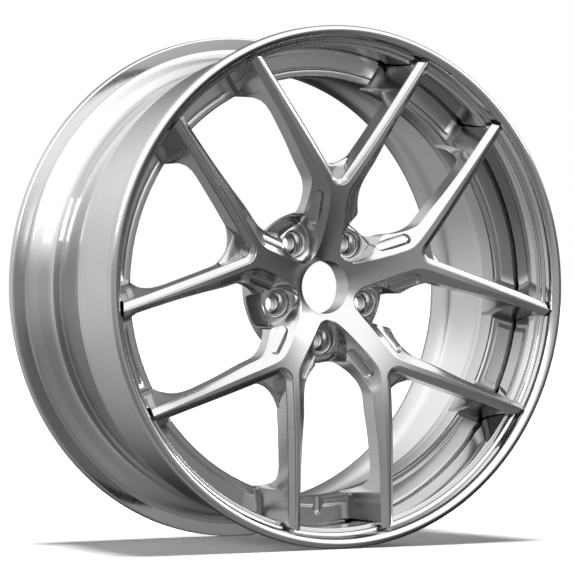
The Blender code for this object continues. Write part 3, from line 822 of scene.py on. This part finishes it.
def metal(name, grey, roughness, vary=0.03, grain=0.05, scale=220.0, tint=NEUTRAL):
    """Polished or satin metal: fine mottling in colour and gloss, and grain."""
    made = Nodes(name)
    made.shader.inputs["Metallic"].default_value = 1.0
    broad = made.noise(9.0, 3.0)
    fine = made.noise(scale, 2.0)
    mix = made.add("ShaderNodeMix", data_type="RGBA")
    low = [grey * 0.93 * t for t in tint]
    high = [min(1.0, grey * 1.05 * t) for t in tint]
    mix.inputs["A"].default_value = (*low, 1.0)
    mix.inputs["B"].default_value = (*high, 1.0)
    made.link(made.ramp(broad, 0.0, 1.0), mix.inputs["Factor"])
    made.link(mix.outputs["Result"], made.shader.inputs["Base Color"])
    gloss = made.ramp(fine, roughness - vary, roughness + vary)
    made.link(gloss, made.shader.inputs["Roughness"])
    made.bump(fine, grain, METAL_GRAIN_M)
    return made.material


def dull(name, colour, roughness, scale=400.0):
    """Rubber or moulded plastic with a fine grain."""
    made = Nodes(name)
    fine = made.noise(scale, 5.0)
    mix = made.add("ShaderNodeMix", data_type="RGBA")
    mix.inputs["A"].default_value = (*[c * 0.8 for c in colour], 1.0)
    mix.inputs["B"].default_value = (*[c * 1.25 for c in colour], 1.0)
    made.link(made.ramp(fine, 0.0, 1.0), mix.inputs["Factor"])
    made.link(mix.outputs["Result"], made.shader.inputs["Base Color"])
    gloss = made.ramp(fine, roughness - 0.06, roughness + 0.06)
    made.link(gloss, made.shader.inputs["Roughness"])
    made.bump(fine, 0.25, DULL_GRAIN_M)
    return made.material


FACE_METAL = metal("satin_forged_face", 0.52, 0.20, 0.02, 0.10, 260.0)
FLANK_METAL = metal("polished_forged_flank", 0.66, 0.10, 0.02, 0.03, 200.0)
BARREL_METAL = metal("polished_barrel", 0.62, 0.09, 0.02, 0.03, 160.0)
SEAT_METAL = metal("machined_steel_seat", 0.62, 0.12, 0.03, 0.10, 500.0)
BOLT_METAL = metal("dark_bolt_steel", 0.30, 0.28, 0.05, 0.15, 500.0)
VALVE_METAL = metal("plated_valve", 0.55, 0.22, 0.05, 0.12, 600.0, (1.0, 0.97, 0.9))
RUBBER = dull("valve_rubber_grain", (0.022, 0.022, 0.022), 0.7)
PLASTIC = dull("cap_plastic_grain", (0.03, 0.03, 0.03), 0.45)


def dress(piece, nodes, slot, *materials):
    """Gives a piece its materials and its body, and hides the CAD nodes it stands for."""
    piece.data.materials.clear()
    for one in materials:
        piece.data.materials.append(one)
    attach(piece, BODY)
    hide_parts(*nodes)


# ---- pieces --------------------------------------------------------------
def seats():
    """The five conical lug seats."""
    for number in range(1, LUG_COUNT + 1):
        x, z = lug_place(number - 1)
        profile = [(12.1, 51.3, 0.3), (SEAT_R, 51.9, 0.2), (SEAT_R, SEAT_BACK_Y, 0.3)]
        profile += [(STUD_HOLE_R, SEAT_BACK_Y, 0.2), (STUD_HOLE_R, 58.5, 0.5)]
        profile += [(11.6, 51.3, 0.3)]
        name = f"lug_seat_{number}"
        piece = turned(name + "_fine", rounded(profile, 0.3, 2), beside_axle(x, z), 72)
        dress(piece, [name], "seat_steel", SEAT_METAL)


def twelve_points(x, z, start, end):
    """Bolt head with twelve points, as a closed prism with a dished top."""
    rows = [(start, 1.0), (end - 0.5, 1.0), (end, 0.9), (end, 0.45), (end - 1.2, 0.4)]
    steps = BOLT_POINTS * 4
    rings = []
    for y, grow in rows:
        ring = []
        for step in range(steps):
            turn = 2 * pi * step / steps
            size = BOLT_HEAD_R - BOLT_HEAD_DIP * (1 + cos(BOLT_POINTS * turn)) / 2
            ring.append((x + size * grow * sin(turn), y, z + size * grow * cos(turn)))
        rings.append(ring)
    return skinned("bolt_head", rings)


def assembly_bolts():
    """The bolts that hold the centre to the barrel, put in from behind."""
    profile = [(0, BOLT_TIP_Y), (3.1, BOLT_TIP_Y, 0.2), (BOLT_SHANK_R, 61.4, 0.2)]
    profile += [(BOLT_SHANK_R, BOLT_COLLAR_Y, 0.1), (BOLT_COLLAR_R, BOLT_COLLAR_Y, 0.3)]
    profile += [(BOLT_COLLAR_R, 87.2, 0.3), (5.6, BOLT_COLLAR_END_Y, 0.4)]
    profile += [(0, BOLT_COLLAR_END_Y)]
    profile = rounded(profile, 0.3, 2)
    for number in range(1, BOLT_COUNT + 1):
        name = f"assembly_bolt_{number:02d}"
        x, z = clock(2 * pi * (number - 0.5) / BOLT_COUNT, BOLT_CIRCLE_R)
        body = turned("bolt_body", profile, beside_axle(x, z), 32)
        head = twelve_points(x, z, 87.6, 93.3)
        piece = merged(name + "_fine", [body, head])
        dress(piece, [name], "bolt_steel", BOLT_METAL)


RIDGE = 0.25


def ridged(name, r_low, r_high, outer, inner, ridges):
    """A cap: a cup with ridges round its side, open at its high end."""
    steps = ridges * 4
    shape = bmesh.new()
    rows = [(inner, r_high), (outer - 0.3, r_high), (outer, r_high - 0.4)]
    rows += [(outer, r_low + 0.8), (outer - 0.9, r_low), (0.02, r_low)]
    rows += [(0.02, r_low + 1.2), (inner, r_low + 1.2)]
    rings = []
    for radius, along in rows:
        ring = []
        for step in range(steps):
            turn = 2 * pi * step / steps
            size = radius - (RIDGE if radius == outer and step % 4 < 2 else 0)
            x, y, z = at_foot(size * sin(turn), along, size * cos(turn))
            ring.append(shape.verts.new((x * MM, (y - MID_Y) * MM, z * MM)))
        rings.append(ring)
    join_rings(shape, rings + rings[:1])
    bmesh.ops.recalc_face_normals(shape, faces=shape.faces)
    return made_object(name, shape)


def valve_piece(name, profile, slot, look, corner_steps, steps):
    """A turned piece on the valve's line."""
    profile = rounded(profile, 0.2, corner_steps)
    piece = turned(name + "_fine", profile, at_foot, steps)
    dress(piece, [name], slot, look)


def valve():
    """The clamp-in valve: profiles of (radius, distance from the axle, rounding)."""
    stem = [(VALVE_BORE_R, 224.8, 0.1), (3.5, 224.8, 0.1), (VALVE_NECK_R, 225.3, 0.1)]
    stem += [(VALVE_NECK_R, 235.8, 0.2), (VALVE_SHANK_R, 235.8, 0.3)]
    stem += [(VALVE_SHANK_R, 257.1, 0.2), (VALVE_HEAD_R, 257.1, 0.2)]
    stem += [(VALVE_HEAD_R, 259.5, 0.8), (VALVE_BORE_R, 259.5, 0.1)]
    valve_piece("valve_stem", stem, "valve_metal", VALVE_METAL, 3, 48)
    seal = [(VALVE_HOLE_R, 254.3, 0.2), (VALVE_WASHER_R, 254.3, 0.4)]
    seal += [(7.9, 256.8, 0.6), (VALVE_HOLE_R, 256.8, 0.2)]
    valve_piece("valve_seal", seal, "valve_rubber", RUBBER, 3, 48)
    washer = [(VALVE_HOLE_R, 246.7, 0.1), (VALVE_WASHER_R, 246.7, 0.3)]
    washer += [(VALVE_WASHER_R, 248.2, 0.3), (VALVE_HOLE_R, 248.2, 0.1)]
    valve_piece("valve_washer", washer, "valve_metal", VALVE_METAL, 2, 48)
    nut = [(5.6, 241.4, 0.2), (7.2, 241.4, 0.2), (8.0, 242.0, 0.2), (8.0, 246.4, 0.1)]
    nut += [(5.6, 246.4, 0.1)]
    valve_piece("valve_nut", nut, "valve_metal", VALVE_METAL, 2, 6)
    piece = ridged("valve_cap_fine", 222.3, 231.3, 5.0, 4.1, 18)
    dress(piece, ["valve_cap"], "cap_plastic", PLASTIC)


CENTRE = forged_centre()
finish_centre(CENTRE)
dress(CENTRE, ["forged_centre"], "forged_metal", FACE_METAL, FLANK_METAL)
dress(barrel(), ["barrel"], "barrel_metal", BARREL_METAL)
seats()
assembly_bolts()
valve()
for name, look in (("valve_core", VALVE_METAL), ("valve_pin", SEAT_METAL)):
    for material_slot in frame["nodes"][name].material_slots:
        material_slot.material = look


# ---- studio --------------------------------------------------------------
FLOOR_SEEN = 1.5
FLOOR_GREY = 0.8
FLOOR_HALF_M = 40.0


def floor():
    """White paper floor, bright to the camera, left out of the metal's mirrors."""
    far = FLOOR_HALF_M
    low = -FLANGE_R * MM
    mesh = bpy.data.meshes.new("floor")
    corners = [(-far, -far, low), (far, -far, low), (far, far, low), (-far, far, low)]
    mesh.from_pydata(corners, [], [(0, 1, 2, 3)])
    made = bpy.data.objects.new("floor", mesh)
    bpy.context.scene.collection.objects.link(made)
    look = bpy.data.materials.new("pale_floor")
    look.use_nodes = True
    tree = look.node_tree
    tree.nodes.clear()
    output = tree.nodes.new("ShaderNodeOutputMaterial")
    diffuse = tree.nodes.new("ShaderNodeBsdfDiffuse")
    path = tree.nodes.new("ShaderNodeLightPath")
    span = tree.nodes.new("ShaderNodeMapRange")
    span.inputs["To Min"].default_value = FLOOR_GREY
    span.inputs["To Max"].default_value = FLOOR_SEEN
    tree.links.new(path.outputs["Is Camera Ray"], span.inputs["Value"])
    tree.links.new(span.outputs["Result"], diffuse.inputs["Color"])
    tree.links.new(diffuse.outputs["BSDF"], output.inputs["Surface"])
    mesh.materials.append(look)
    made.visible_glossy = False


class Sky:
    """The studio round the wheel, as a function of direction."""

    def __init__(self, tree):
        self.tree = tree
        place = tree.nodes.new("ShaderNodeTexCoord")
        self.split = tree.nodes.new("ShaderNodeSeparateXYZ")
        tree.links.new(place.outputs["Generated"], self.split.inputs["Vector"])

    def span(self, axis, start, end, low, high):
        """A level that goes smoothly from low to high along an axis."""
        node = self.tree.nodes.new("ShaderNodeMapRange")
        node.interpolation_type = "SMOOTHSTEP"
        node.inputs["From Min"].default_value = start
        node.inputs["From Max"].default_value = end
        node.inputs["To Min"].default_value = low
        node.inputs["To Max"].default_value = high
        self.tree.links.new(self.split.outputs[axis], node.inputs["Value"])
        return node.outputs["Result"]

    def mixed(self, share, a, b):
        """The level a where share is 0, and b where it is 1."""
        node = self.tree.nodes.new("ShaderNodeMix")
        for value, into in ((share, "Factor"), (a, "A"), (b, "B")):
            if isinstance(value, (int, float)):
                node.inputs[into].default_value = value
            else:
                self.tree.links.new(value, node.inputs[into])
        return node.outputs["Result"]


SKY_FOR_DULL = 0.02


def world():
    """White to the camera; to the metal, bright above, grey ahead, dark below."""
    made = bpy.data.worlds.new("studio")
    bpy.context.scene.world = made
    made.use_nodes = True
    tree = made.node_tree
    sky = Sky(tree)
    behind = sky.span("Y", -0.3, 0.6, 0.0, 1.0)
    ahead_level = sky.span("X", 0.38, 0.62, 0.50, 0.18)
    behind_level = sky.span("X", -0.5, 0.3, 0.80, 0.10)
    level = sky.mixed(behind, ahead_level, behind_level)
    ahead_below = sky.span("X", 0.35, 0.75, 0.24, 0.03)
    behind_below = sky.span("X", -0.35, 0.3, 0.42, 0.03)
    below = sky.mixed(behind, ahead_below, behind_below)
    above = sky.mixed(behind, 1.9, sky.span("X", -0.4, 0.4, 1.3, 0.28))
    lower = sky.mixed(sky.span("Z", -0.45, 0.02, 0.0, 1.0), below, level)
    whole = sky.mixed(sky.span("Z", 0.06, 0.5, 0.0, 1.0), lower, above)
    path = tree.nodes.new("ShaderNodeLightPath")
    unlit = sky.mixed(path.outputs["Is Diffuse Ray"], whole, SKY_FOR_DULL)
    seen = sky.mixed(path.outputs["Is Camera Ray"], unlit, 1.0)
    tree.links.new(seen, tree.nodes["Background"].inputs["Color"])


def area(name, place, aim, size, energy):
    """A rectangular lamp, in metres and watts, that points at aim."""
    data = bpy.data.lights.new(name, "AREA")
    data.shape = "RECTANGLE"
    data.size = size[0]
    data.size_y = size[1]
    data.energy = energy
    light = bpy.data.objects.new(name, data)
    light.location = place
    towards = Vector(aim) - Vector(place)
    light.rotation_euler = towards.to_track_quat("-Z", "Y").to_euler()
    bpy.context.scene.collection.objects.link(light)


def sun():
    """Soft light from straight above that only the floor and dull pieces see."""
    data = bpy.data.lights.new("overhead", "SUN")
    data.energy = 2.6
    data.angle = radians(16)
    light = bpy.data.objects.new("overhead", data)
    light.visible_glossy = False
    bpy.context.scene.collection.objects.link(light)


def camera():
    """A level camera in front and to the left, at the height of the axle."""
    data = bpy.data.cameras.new("camera")
    data.sensor_width = 36.0
    data.lens = 230.4
    made = bpy.data.objects.new("camera", data)
    made.location = (-1.944, -3.3895, 0.0)
    made.rotation_euler = (radians(90), 0, radians(-29.83))
    bpy.context.scene.collection.objects.link(made)
    bpy.context.scene.camera = made


camera()
floor()
world()
sun()
area("right", (3.0, -1.0, 1.6), (0, 0, 0), (0.4, 1.2), 20)
area("left", (-3.0, -0.6, 1.5), (0, 0, 0), (0.3, 1.0), 14)
bpy.context.scene.view_settings.view_transform = "Standard"
